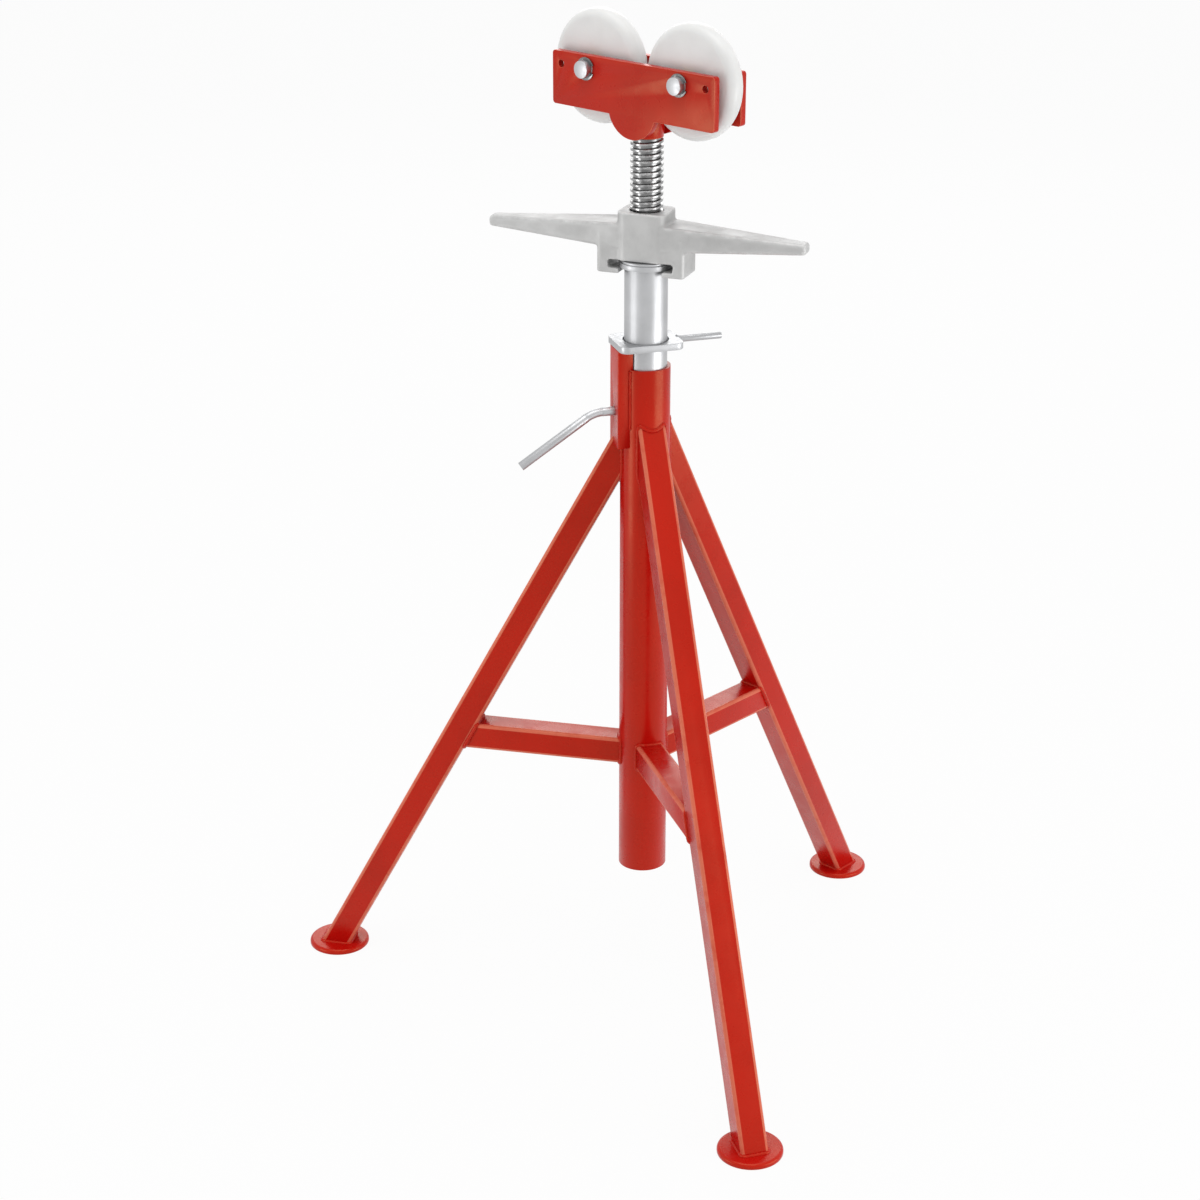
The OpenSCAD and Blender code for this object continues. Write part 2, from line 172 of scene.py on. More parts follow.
class StandFinishes(bpy.types.PropertyGroup):
    """Colours and gloss of the stand's finishes."""

    paint: bpy.props.FloatVectorProperty(
        name="Red paint", description="Colour of the painted frame and head", subtype="COLOR",
        default=(0.50, 0.0040, 0.0022), min=0, max=1)
    paint_dark: bpy.props.FloatVectorProperty(
        name="Dark red", description="Colour of the paint where it is thicker", subtype="COLOR",
        default=(0.43, 0.0028, 0.0018), min=0, max=1)
    # Thin paint along worn edges; the same colour is painted as a highlight along the round corners of the legs
    # and braces
    paint_thin_and_highlight: bpy.props.FloatVectorProperty(
        name="Thin paint", description="Colour of the paint where it is thin along edges",
        subtype="COLOR", default=(0.86, 0.300, 0.180), min=0, max=1)
    plating: bpy.props.FloatVectorProperty(
        name="Plating", description="Colour of the plated tube and fittings", subtype="COLOR",
        default=(0.50, 0.505, 0.515), min=0, max=1)
    casting: bpy.props.FloatVectorProperty(
        name="Casting", description="Colour of the jack nut", subtype="COLOR",
        default=(0.52, 0.52, 0.515), min=0, max=1)
    steel: bpy.props.FloatVectorProperty(
        name="Screw steel", description="Colour of the oiled jack screw", subtype="COLOR",
        default=(0.25, 0.25, 0.25), min=0, max=1)
    nylon: bpy.props.FloatVectorProperty(
        name="Nylon", description="Colour of the rollers", subtype="COLOR",
        default=(0.79, 0.79, 0.78), min=0, max=1)
    bronze: bpy.props.FloatVectorProperty(
        name="Bronze", description="Colour of the bushes and the clamp pad", subtype="COLOR",
        default=(0.50, 0.32, 0.13), min=0, max=1)


class StandStage(bpy.types.PropertyGroup):
    """Camera, floor and lights."""

    lens: bpy.props.FloatProperty(
        name="Lens", description="Focal length on a 36 mm frame",
        default=78.01, min=20, max=200, unit="CAMERA")
    camera_place: bpy.props.FloatVectorProperty(
        name="Camera place", description="Where the camera stands", subtype="TRANSLATION",
        default=(1.4658, -1.6329, 1.3047))
    camera_turn: bpy.props.FloatProperty(
        name="Camera turn", description="Turn of the view to the left of +Y", subtype="ANGLE",
        default=math.radians(42.96))
    camera_drop: bpy.props.FloatProperty(
        name="Camera drop", description="Angle of the view below level", subtype="ANGLE",
        default=math.radians(22.51))
    floor_radius: bpy.props.FloatProperty(
        name="Floor radius", description="Radius of the round floor",
        default=14.0, min=3, max=50, unit="LENGTH")
    left_power: bpy.props.FloatProperty(
        name="Left box", description="Power of the low soft box at the left",
        default=5.5, min=0, unit="POWER")
    right_power: bpy.props.FloatProperty(
        name="Right box", description="Power of the low soft box at the right",
        default=11, min=0, unit="POWER")
    top_power: bpy.props.FloatProperty(
        name="Top light", description="Power of the soft light overhead",
        default=32, min=0, unit="POWER")
    back_power: bpy.props.FloatProperty(
        name="Back light", description="Power of the low soft light behind",
        default=22, min=0, unit="POWER")
    ambient: bpy.props.FloatProperty(
        name="Room light", description="Level of the light from all round",
        default=0.66, min=0, max=2)
    floor_glow: bpy.props.FloatProperty(
        name="Floor white", description="Share of plain white in the floor as the camera sees it",
        default=0.94, min=0, max=1, subtype="FACTOR")


def only(obj):
    """Selects one object alone and makes it active."""
    bpy.ops.object.select_all(action="DESELECT")
    obj.select_set(True)
    bpy.context.view_layer.objects.active = obj


def apply_modifier(obj, kind, **settings):
    """Adds one modifier, sets it and applies it."""
    only(obj)
    bpy.ops.object.modifier_add(type=kind)
    modifier = obj.modifiers[-1]
    for name, value in settings.items():
        setattr(modifier, name, value)
    bpy.ops.object.modifier_apply(modifier=modifier.name)


def cad_copy(node, piece):
    """A copy of a solid's mesh with its corners joined and its flat faces whole."""
    obj = bpy.data.objects.new(piece, frame["nodes"][node].data.copy())
    bpy.context.scene.collection.objects.link(obj)
    only(obj)
    bpy.ops.mesh.customdata_custom_splitnormals_clear()
    bpy.ops.object.mode_set(mode="EDIT")
    bpy.ops.mesh.select_all(action="SELECT")
    bpy.ops.mesh.remove_doubles(threshold=WELD_DISTANCE)
    bpy.ops.mesh.dissolve_limited(angle_limit=FLAT_ANGLE)
    bpy.ops.object.mode_set(mode="OBJECT")
    return obj


def round_edges(obj, radius, segments=2):
    """Rounds the sharp edges and marks their new faces for wear."""
    obj.data.materials.clear()
    for _ in range(2):
        obj.data.materials.append(None)
    apply_modifier(obj, "BEVEL", width=radius, segments=segments, limit_method="ANGLE",
                   angle_limit=EDGE_ANGLE, harden_normals=False, material=1)
    mask = obj.data.attributes.new(EDGE_WEAR_AND_HIGHLIGHT, "FLOAT", "FACE")
    for face, mark in zip(obj.data.polygons, mask.data):
        mark.value = face.material_index
        face.material_index = 0
    smooth(obj)


def mark_corner_highlights(obj, width):
    """Marks the long narrow faces along the round corners of a square tube for a painted highlight in the
    thin-paint colour.
    """
    mesh = obj.data
    for face, mark in zip(mesh.polygons, mesh.attributes[EDGE_WEAR_AND_HIGHLIGHT].data):
        corners = [mesh.vertices[i].co for i in face.vertices]
        longest = max((one - two).length for one, two in zip(corners, corners[1:] + corners[:1]))
        if face.area < width * longest < longest * longest / CORNER_SLENDER:
            mark.value = 1


def mark_crests(obj):
    """Marks how far each corner of a fine mesh stands out from its neighbours, for wear."""
    mesh = obj.data
    lift = [0.0] * len(mesh.vertices)
    for edge in mesh.edges:
        one, two = (mesh.vertices[i] for i in edge.vertices)
        line = (one.co - two.co).normalized()
        lift[one.index] += line.dot(one.normal)
        lift[two.index] -= line.dot(two.normal)
    mask = mesh.attributes.new(EDGE_WEAR_AND_HIGHLIGHT, "FLOAT", "POINT")
    for value, mark in zip(lift, mask.data):
        mark.value = min(1.0, max(0.0, value / CREST_LIFT))


def smooth(obj):
    only(obj)
    bpy.ops.object.shade_smooth_by_angle(angle=EDGE_ANGLE)


def body_of_node(node):
    bodies = frame["record"]["behaviour"]["bodies"]
    return next(body for body, nodes in bodies.items() if node in nodes)


def dress(obj, material, body, nodes=()):
    """Gives a piece its material, the body that it rides on and the solids that it stands for."""
    obj.data.materials.clear()
    obj.data.materials.append(material)
    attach(obj, body)
    if nodes:
        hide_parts(*nodes)


def dress_copy(node, radius, material, segments=2):
    """Replaces a solid with a copy whose edges are rounded."""
    obj = cad_copy(node, node + "_body")
    round_edges(obj, radius, segments)
    dress(obj, material, body_of_node(node), (node,))
    return obj


def paint_node(node, material):
    """Gives a solid that stays as it is a better material."""
    obj = frame["nodes"][node]
    obj.data.materials.clear()
    obj.data.materials.append(material)


def add_node(tree, kind, settings=None, **values):
    """Adds a shader node with its settings and the values of its sockets."""
    made = tree.nodes.new(kind)
    for name, value in (settings or {}).items():
        setattr(made, name, value)
    for name, value in values.items():
        made.inputs[name.replace("_", " ")].default_value = value
    return made


def group_tree(name, inputs, outputs):
    """An empty shader node group with named sockets, and its two end nodes."""
    tree = bpy.data.node_groups.new(name, "ShaderNodeTree")
    for socket, value in inputs.items():
        made = tree.interface.new_socket(socket, in_out="INPUT", socket_type="NodeSocketFloat")
        made.default_value = value
    for socket in outputs:
        tree.interface.new_socket(socket, in_out="OUTPUT", socket_type="NodeSocketFloat")
    return tree, tree.nodes.new("NodeGroupInput"), tree.nodes.new("NodeGroupOutput")


def cloudy_group():
    """Soft cloudy mask for slow changes of tone."""
    tree, start, end = group_tree(
        "Cloudy Tone", {"Scale": 20.0, "Low": 0.35, "High": 0.65}, ("Mask",))
    place = tree.nodes.new("ShaderNodeTexCoord")
    noise = add_node(tree, "ShaderNodeTexNoise", Detail=4.0, Roughness=0.55)
    ramp = add_node(tree, "ShaderNodeMapRange", {"interpolation_type": "SMOOTHSTEP"})
    tree.links.new(place.outputs["Object"], noise.inputs["Vector"])
    tree.links.new(start.outputs["Scale"], noise.inputs["Scale"])
    tree.links.new(noise.outputs["Fac"], ramp.inputs["Value"])
    tree.links.new(start.outputs["Low"], ramp.inputs["From Min"])
    tree.links.new(start.outputs["High"], ramp.inputs["From Max"])
    tree.links.new(ramp.outputs["Result"], end.inputs["Mask"])
    return tree


def streak_group():
    """Mask of fine streaks, long in one direction, from stretched noise."""
    tree, start, end = group_tree(
        "Fine Streaks",
        {"Across": 900.0, "Along": 12.0, "Upright": 12.0, "Low": 0.4, "High": 0.6}, ("Mask",))
    place = tree.nodes.new("ShaderNodeTexCoord")
    stretch = tree.nodes.new("ShaderNodeCombineXYZ")
    scale = add_node(tree, "ShaderNodeVectorMath", {"operation": "MULTIPLY"})
    noise = add_node(tree, "ShaderNodeTexNoise", Scale=1.0, Detail=3.0, Roughness=0.6)
    ramp = add_node(tree, "ShaderNodeMapRange", {"interpolation_type": "SMOOTHSTEP"})
    tree.links.new(start.outputs["Across"], stretch.inputs["X"])
    tree.links.new(start.outputs["Along"], stretch.inputs["Y"])
    tree.links.new(start.outputs["Upright"], stretch.inputs["Z"])
    tree.links.new(place.outputs["Object"], scale.inputs[0])
    tree.links.new(stretch.outputs["Vector"], scale.inputs[1])
    tree.links.new(scale.outputs["Vector"], noise.inputs["Vector"])
    tree.links.new(noise.outputs["Fac"], ramp.inputs["Value"])
    tree.links.new(start.outputs["Low"], ramp.inputs["From Min"])
    tree.links.new(start.outputs["High"], ramp.inputs["From Max"])
    tree.links.new(ramp.outputs["Result"], end.inputs["Mask"])
    return tree


def grain_group():
    """Height of a fine surface grain, with pits in it."""
    tree, start, end = group_tree("Surface Grain", {"Scale": 400.0, "Pits": 0.3}, ("Height",))
    place = tree.nodes.new("ShaderNodeTexCoord")
    noise = add_node(tree, "ShaderNodeTexNoise", Detail=3.0, Roughness=0.6)
    cells = add_node(tree, "ShaderNodeTexVoronoi", {"feature": "SMOOTH_F1"})
    mix = add_node(tree, "ShaderNodeMix", {"data_type": "FLOAT"})
    for texture in (noise, cells):
        tree.links.new(place.outputs["Object"], texture.inputs["Vector"])
        tree.links.new(start.outputs["Scale"], texture.inputs["Scale"])
    tree.links.new(start.outputs["Pits"], mix.inputs["Factor"])
    tree.links.new(noise.outputs["Fac"], mix.inputs["A"])
    tree.links.new(cells.outputs["Distance"], mix.inputs["B"])
    tree.links.new(mix.outputs["Result"], end.inputs["Height"])
    return tree


def wear_and_highlight_group():
    """Mask of broken wear along the marked edges of a piece, and of a painted highlight where the marks lie along
    a square tube's round corners.
    """
    tree, start, end = group_tree(
        "Worn Edges And Highlights", {"Scale": 150.0, "Low": 0.36, "High": 0.62, "Amount": 0.5}, ("Mask",))
    place = tree.nodes.new("ShaderNodeTexCoord")
    marks = add_node(tree, "ShaderNodeAttribute", {"attribute_name": EDGE_WEAR_AND_HIGHLIGHT})
    noise = add_node(tree, "ShaderNodeTexNoise", Detail=4.0, Roughness=0.65)
    ramp = tree.nodes.new("ShaderNodeMapRange")
    broken = add_node(tree, "ShaderNodeMath", {"operation": "MULTIPLY"})
    tree.links.new(place.outputs["Object"], noise.inputs["Vector"])
    tree.links.new(start.outputs["Scale"], noise.inputs["Scale"])
    tree.links.new(noise.outputs["Fac"], ramp.inputs["Value"])
    tree.links.new(start.outputs["Low"], ramp.inputs["From Min"])
    tree.links.new(start.outputs["High"], ramp.inputs["From Max"])
    tree.links.new(start.outputs["Amount"], ramp.inputs["To Max"])
    tree.links.new(marks.outputs["Fac"], broken.inputs[0])
    tree.links.new(ramp.outputs["Result"], broken.inputs[1])
    tree.links.new(broken.outputs["Value"], end.inputs["Mask"])
    return tree


GROUP_MAKERS = {
    "Cloudy Tone": cloudy_group, "Fine Streaks": streak_group,
    "Surface Grain": grain_group, "Worn Edges And Highlights": wear_and_highlight_group,
}


def place_group(tree, name, **values):
    """Places a shared group in a material, with its own values."""
    made = tree.nodes.new("ShaderNodeGroup")
    made.node_tree = bpy.data.node_groups.get(name) or GROUP_MAKERS[name]()
    for socket, value in values.items():
        made.inputs[socket].default_value = value
    return made


def start_material(name, **values):
    material = bpy.data.materials.new(name)
    material.use_nodes = True
    shader = material.node_tree.nodes["Principled BSDF"]
    for socket, value in values.items():
        shader.inputs[socket.replace("_", " ")].default_value = value
    return material, material.node_tree, shader


def blend(tree, mask, first, second):
    """Colour that goes from one to another with a mask. The first may be a socket."""
    mix = add_node(tree, "ShaderNodeMix", {"data_type": "RGBA"})
    if isinstance(first, bpy.types.NodeSocket):
        tree.links.new(first, mix.inputs["A"])
    else:
        mix.inputs["A"].default_value = (*first, 1)
    mix.inputs["B"].default_value = (*second, 1)
    tree.links.new(mask, mix.inputs["Factor"])
    return mix.outputs["Result"]


def tone(tree, shader, mask, first, second, worn_and_highlight, **wear_and_highlight_values):
    """Base colour that clouds from one colour to another, with a third along worn edges, which is a painted
    highlight where the marks lie on a square tube's round corners.
    """
    clouded = blend(tree, mask, first, second)
    wear_and_highlight = place_group(tree, "Worn Edges And Highlights", **wear_and_highlight_values)
    tree.links.new(blend(tree, wear_and_highlight.outputs["Mask"], clouded, worn_and_highlight), shader.inputs["Base Color"])


def gloss(tree, shader, mask, low, high):
    """Roughness that goes from low to high with a mask."""
    ramp = add_node(tree, "ShaderNodeMapRange", To_Min=low, To_Max=high)
    tree.links.new(mask, ramp.inputs["Value"])
    tree.links.new(ramp.outputs["Result"], shader.inputs["Roughness"])


def relief(tree, shader, height, strength, distance):
    bump = add_node(tree, "ShaderNodeBump", Strength=strength, Distance=distance)
    tree.links.new(height, bump.inputs["Height"])
    tree.links.new(bump.outputs["Normal"], shader.inputs["Normal"])


def shade(colour, factor):
    return tuple(channel * factor for channel in colour)


def red_paint():
    """Glossy red enamel with a slight orange peel, thin and lighter along worn edges, and with a painted highlight
    of that lighter colour along the round corners of the legs and braces.
    """
    finishes = bpy.context.scene.stand_finishes
    material, tree, shader = start_material("Red Paint", IOR=1.5, Specular_IOR_Level=0.40)
    shader.inputs["Specular Tint"].default_value = (1.0, 0.70, 0.36, 1)
    clouds = place_group(tree, "Cloudy Tone", Scale=14.0, Low=0.3, High=0.75)
    # Lighter thin paint on worn edges; on the legs' and braces' round corners it is a painted highlight
    tone(tree, shader, clouds.outputs["Mask"],
         finishes.paint, finishes.paint_dark, finishes.paint_thin_and_highlight,
         Scale=40.0, Low=0.10, High=0.50, Amount=0.45)
    haze = place_group(tree, "Cloudy Tone", Scale=60.0, Low=0.3, High=0.7)
    gloss(tree, shader, haze.outputs["Mask"], low=0.24, high=0.34)
    skin = place_group(tree, "Surface Grain", Scale=420.0, Pits=0.15)
    relief(tree, shader, skin.outputs["Height"], strength=0.10, distance=0.0004)
    return material


def plated(name, across, along, upright):
    """Bright plating with fine polishing streaks along one direction."""
    finishes = bpy.context.scene.stand_finishes
    material, tree, shader = start_material(name, Metallic=1.0)
    clouds = place_group(tree, "Cloudy Tone", Scale=25.0, Low=0.35, High=0.7)
    tone(tree, shader, clouds.outputs["Mask"], finishes.plating, shade(finishes.plating, 0.86),
         shade(finishes.plating, 1.35), Scale=220.0, Amount=0.6)
    streaks = place_group(
        tree, "Fine Streaks", Across=across, Along=along, Upright=upright, Low=0.3, High=0.7)
    gloss(tree, shader, streaks.outputs["Mask"], low=0.36, high=0.48)
    relief(tree, shader, streaks.outputs["Mask"], strength=0.05, distance=0.0001)
    return material


def bare_casting():
    """Grey casting with a sandy skin, rubbed bright along its edges."""
    finishes = bpy.context.scene.stand_finishes
    material, tree, shader = start_material("Bare Casting", Metallic=0.3)
    clouds = place_group(tree, "Cloudy Tone", Scale=45.0, Low=0.3, High=0.75)
    tone(tree, shader, clouds.outputs["Mask"], finishes.casting, shade(finishes.casting, 0.84),
         shade(finishes.casting, 1.45), Scale=90.0, Amount=0.8)
    gloss(tree, shader, clouds.outputs["Mask"], low=0.44, high=0.58)
    grain = place_group(tree, "Surface Grain", Scale=650.0, Pits=0.5)
    relief(tree, shader, grain.outputs["Height"], strength=0.28, distance=0.0005)
    return material


def oiled_steel():
    """Dark oiled steel, rubbed brighter along its crests."""
    finishes = bpy.context.scene.stand_finishes
    material, tree, shader = start_material("Oiled Steel", Metallic=1.0)
    clouds = place_group(tree, "Cloudy Tone", Scale=90.0, Low=0.35, High=0.7)
    tone(tree, shader, clouds.outputs["Mask"], finishes.steel, shade(finishes.steel, 0.6),
         shade(finishes.steel, 2.0), Scale=240.0, Amount=0.8)
    gloss(tree, shader, clouds.outputs["Mask"], low=0.20, high=0.36)
    grain = place_group(tree, "Surface Grain", Scale=900.0, Pits=0.2)
    relief(tree, shader, grain.outputs["Height"], strength=0.06, distance=0.0002)
    return material


def roller_nylon():
    """Off-white nylon, a little see-through at its rim, scuffed along the edges."""
    finishes = bpy.context.scene.stand_finishes
    material, tree, shader = start_material(
        "Roller Nylon", IOR=1.53, Subsurface_Weight=0.25, Subsurface_Scale=0.006)
    shader.inputs["Subsurface Radius"].default_value = (1.0, 0.95, 0.88)
    clouds = place_group(tree, "Cloudy Tone", Scale=30.0, Low=0.3, High=0.7)
    tone(tree, shader, clouds.outputs["Mask"], finishes.nylon, shade(finishes.nylon, 0.94),
         shade(finishes.nylon, 1.1), Scale=120.0, Amount=0.5)
    gloss(tree, shader, clouds.outputs["Mask"], low=0.36, high=0.5)
    grain = place_group(tree, "Surface Grain", Scale=700.0, Pits=0.1)
    relief(tree, shader, grain.outputs["Height"], strength=0.06, distance=0.0003)
    return material


def bush_bronze():
    """Sintered bronze with a fine open grain."""
    finishes = bpy.context.scene.stand_finishes
    material, tree, shader = start_material("Bush Bronze", Metallic=1.0)
    clouds = place_group(tree, "Cloudy Tone", Scale=80.0, Low=0.3, High=0.7)
    tone(tree, shader, clouds.outputs["Mask"], finishes.bronze, shade(finishes.bronze, 0.75),
         shade(finishes.bronze, 1.3), Scale=200.0, Amount=0.5)
    gloss(tree, shader, clouds.outputs["Mask"], low=0.32, high=0.5)
    grain = place_group(tree, "Surface Grain", Scale=1200.0, Pits=0.6)
    relief(tree, shader, grain.outputs["Height"], strength=0.12, distance=0.0002)
    return material


def plated_tube():
    return plated("Plated Tube", across=260.0, along=260.0, upright=6.0)


def plated_fittings():
    return plated("Plated Fittings", across=300.0, along=300.0, upright=300.0)


MATERIAL_MAKERS = {
    "Red Paint": red_paint, "Plated Tube": plated_tube, "Plated Fittings": plated_fittings,
    "Bare Casting": bare_casting, "Oiled Steel": oiled_steel, "Roller Nylon": roller_nylon,
    "Bush Bronze": bush_bronze,
}


def finish_named(name):
    return bpy.data.materials.get(name) or MATERIAL_MAKERS[name]()


def square_loop(width, corner_r, step):
    """Points at even steps round a square tube, as (outward, sideways) from its middle."""
    half = width / 2
    flat = width - 2 * corner_r
    arc = corner_r * math.pi / 2
    count = max(16, round(4 * (flat + arc) / step))
    points = []
    for i in range(count):
        side, along = divmod(4 * (flat + arc) * i / count, flat + arc)
        if along < flat:
            place = Vector((half, along - flat / 2))
        else:
            turn = (along - flat) / corner_r
            arm = Vector((math.cos(turn), math.sin(turn)))
            place = Vector((flat / 2, flat / 2)) + corner_r * arm
        points.append(Matrix.Rotation(side * math.pi / 2, 2) @ place)
    return points


def round_about(points, azimuth):
    turn = Matrix.Rotation(azimuth, 3, "Z")
    return [turn @ Vector(point) for point in points]


def leg_post_seam(loop):
    """Where a leg meets the post, in the leg's own upright plane."""
    lean_sin, lean_cos = math.sin(LEG_LEAN), math.cos(LEG_LEAN)
    seam = []
    for out, side in loop:
        reach = math.sqrt(POST_R ** 2 - side ** 2)
        run = (FOOT_CIRCLE_R + out * lean_cos - reach) / lean_sin
        seam.append((reach, side, FOOT_TOP + out * lean_sin + run * lean_cos))
    return seam


def leg_foot_seam(loop):
    return [(FOOT_CIRCLE_R + out / math.cos(LEG_LEAN), side, FOOT_TOP) for out, side in loop]


def brace_post_seam(loop):
    return [(math.sqrt(POST_R ** 2 - side ** 2), side, BRACE_Z + up) for up, side in loop]


def brace_leg_seam(loop):
    """Where a brace meets the inner face of a leg."""
    face = FOOT_CIRCLE_R - LEG_W / 2 / math.cos(LEG_LEAN)
    lean = math.tan(LEG_LEAN)
    return [(face - (BRACE_Z + up - FOOT_TOP) * lean, side, BRACE_Z + up) for up, side in loop]


def upright_seam(x, y, low, high, step):
    count = max(2, round((high - low) / step))
    return [(x, y, low + (high - low) * i / count) for i in range(count + 1)]


def bracket_seams(step):
    """Where the two sides of the bracket meet the post, from over the legs to the rim."""
    aside = BRACKET_W / 2 + SEAM_OUT
    reach = math.sqrt(POST_R ** 2 - aside ** 2) + SEAM_OUT
    lean = math.tan(LEG_LEAN)
    leg_top = FOOT_TOP + (FOOT_CIRCLE_R - POST_R) / lean + LEG_W / 2 / math.sin(LEG_LEAN)
    rim = POST_HIGH.z - SEAM_STOP
    seams = [upright_seam(reach, side * aside, leg_top, rim, step) for side in (-1, 1)]
    return [round_about(seam, CLAMP_AZ) for seam in seams]


def lever_seam(step):
    """Ring where the lock lever leaves the end of its plate."""
    low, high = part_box("lock_lever")
    radius = (high.z - low.z) / 2
    count = round(2 * math.pi * radius / step)
    middle = (low.z + high.z) / 2
    turns = [2 * math.pi * i / count for i in range(count)]
    ring = [(-LOCK_END, radius * math.cos(turn), middle + radius * math.sin(turn)) for turn in turns]
    return round_about(ring, CLAMP_AZ)


def weld_bead(piece, seams, radius, closed=True, seed=1):
    """One rippled weld bead along each seam, all in one piece."""
    draw = random.Random(seed)
    bpy.ops.object.select_all(action="DESELECT")
    bpy.ops.object.add(type="CURVE")
    obj = bpy.context.active_object
    obj.name = obj.data.name = piece
    curve = obj.data
    curve.dimensions = "3D"
    curve.bevel_depth = radius
    curve.bevel_resolution = 3
    curve.use_fill_caps = True
    for seam in seams:
        spline = curve.splines.new("POLY")
        spline.points.add(2 * len(seam) - 1)
        spline.use_cyclic_u = closed
        for i, point in enumerate(seam):
            after = seam[(i + 1) % len(seam)] if closed or i + 1 < len(seam) else point
            middle = (Vector(point) + Vector(after)) / 2
            spline.points[2 * i].co = (*point, 1)
            spline.points[2 * i].radius = draw.uniform(*BEAD_DIP)
            spline.points[2 * i + 1].co = (*middle, 1)
            spline.points[2 * i + 1].radius = draw.uniform(*BEAD_RIDGE)
    bpy.ops.object.convert(target="MESH")
    obj = bpy.context.view_layer.objects.active
    bpy.ops.object.mode_set(mode="EDIT")
    bpy.ops.mesh.select_all(action="SELECT")
    bpy.ops.mesh.remove_doubles(threshold=WELD_DISTANCE)
    bpy.ops.mesh.normals_make_consistent(inside=False)
    bpy.ops.object.mode_set(mode="OBJECT")
    bpy.ops.object.shade_smooth()
    return obj


class STAND_OT_painted_frame(bpy.types.Operator):
    """Rounds and paints the post, bracket, legs, braces and feet"""
    bl_idname = "stand.painted_frame"
    bl_label = "Painted Frame"

    def execute(self, context):
        sizes = context.scene.stand_sizes
        paint = finish_named("Red Paint")
        for node in frame["record"]["behaviour"]["bodies"]["base"]:
            obj = dress_copy(node, sizes.edge_round, paint)
            # The round corners of the legs and braces get the thin-paint colour as a painted highlight
            if node.startswith(("leg", "brace")):
                mark_corner_highlights(obj, TUBE_CORNER_R)
        return {"FINISHED"}


class STAND_OT_weld_beads(bpy.types.Operator):
    """Lays the weld beads of the legs, braces, feet and bracket"""
    bl_idname = "stand.weld_beads"
    bl_label = "Weld Beads"

    def execute(self, context):
        sizes = context.scene.stand_sizes
        leg_loop = square_loop(LEG_W, TUBE_CORNER_R, sizes.bead_step)
        brace_loop = square_loop(BRACE_W, TUBE_CORNER_R, sizes.bead_step)
        seams = {
            "leg_welds": leg_post_seam(leg_loop),
            "foot_welds": leg_foot_seam(leg_loop),
            "brace_inner_welds": brace_post_seam(brace_loop),
            "brace_outer_welds": brace_leg_seam(brace_loop),
        }
        for seed, (piece, seam) in enumerate(seams.items()):
            turned = [round_about(seam, azimuth) for azimuth in LEG_AZIMUTHS.values()]
            obj = weld_bead(piece, turned, sizes.bead_radius, seed=seed)
            dress(obj, finish_named("Red Paint"), "base")
        obj = weld_bead("bracket_welds", bracket_seams(sizes.bead_step), sizes.seam_radius,
                        closed=False, seed=7)
        dress(obj, finish_named("Red Paint"), "base")
        return {"FINISHED"}


class STAND_OT_mast(bpy.types.Operator):
    """Rounds and plates the inner tube, its collar and its thrust washer"""
    bl_idname = "stand.mast"
    bl_label = "Inner Tube"

    def execute(self, context):
        sizes = context.scene.stand_sizes
        dress_copy("inner_tube", sizes.edge_round, finish_named("Plated Tube"))
        for node in ("tube_collar", "thrust_washer"):
            dress_copy(node, sizes.fine_round, finish_named("Plated Fittings"))
        return {"FINISHED"}


class STAND_OT_clamp(bpy.types.Operator):
    """Rounds the clamp screw and its pad, plates the screw and gives the pad bronze"""
    bl_idname = "stand.clamp"
    bl_label = "Clamp Screw"

    def execute(self, context):
        sizes = context.scene.stand_sizes
        dress_copy("clamp_screw", sizes.edge_round, finish_named("Plated Fittings"))
        dress_copy("clamp_pad", sizes.fine_round, finish_named("Bush Bronze"))
        return {"FINISHED"}


class STAND_OT_lock(bpy.types.Operator):
    """Rounds and plates the lock plate and its lever"""
    bl_idname = "stand.lock"
    bl_label = "Lock Plate"

    def execute(self, context):
        sizes = context.scene.stand_sizes
        for node in ("lock_plate", "lock_lever"):
            dress_copy(node, sizes.edge_round, finish_named("Plated Fittings"))
        obj = weld_bead("lever_weld", [lever_seam(sizes.seam_radius)], sizes.seam_radius, seed=9)
        dress(obj, finish_named("Plated Fittings"), "lock")
        return {"FINISHED"}


class STAND_OT_jack_nut(bpy.types.Operator):
    """Makes the winged nut a casting with soft edges and fillets"""
    bl_idname = "stand.jack_nut"
    bl_label = "Jack Nut"

    def execute(self, context):
        sizes = context.scene.stand_sizes
        obj = cad_copy("jack_nut", "jack_nut_casting")
        apply_modifier(obj, "REMESH", mode="VOXEL", voxel_size=sizes.casting_voxel)
        apply_modifier(obj, "SMOOTH", factor=CAST_FACTOR, iterations=CAST_PASSES)
        bpy.ops.object.shade_smooth()
        mark_crests(obj)
        dress(obj, finish_named("Bare Casting"), "jack_nut", ("jack_nut",))
        return {"FINISHED"}


def drawn_line(piece, start, steps):
    """A line of edges, drawn from a start point by extruding it step by step."""
    bpy.ops.object.select_all(action="DESELECT")
    bpy.ops.mesh.primitive_plane_add(size=0.001)
    obj = bpy.context.active_object
    obj.name = obj.data.name = piece
    bpy.ops.object.mode_set(mode="EDIT")
    bpy.ops.mesh.select_all(action="SELECT")
    bpy.ops.mesh.merge(type="CENTER")
    bpy.ops.transform.translate(value=start)
    for step in steps:
        bpy.ops.mesh.extrude_vertices_move(TRANSFORM_OT_translate={"value": step})
    bpy.ops.object.mode_set(mode="OBJECT")
    return obj


def cut_level(obj, height, upper):
    """Cuts a closed piece off level at a height and keeps what is under it, or over it."""
    only(obj)
    bpy.ops.object.mode_set(mode="EDIT")
    bpy.ops.mesh.select_all(action="SELECT")
    bpy.ops.mesh.bisect(plane_co=(0, 0, height), plane_no=(0, 0, 1), use_fill=True,
                        clear_inner=upper, clear_outer=not upper)
    bpy.ops.object.mode_set(mode="OBJECT")


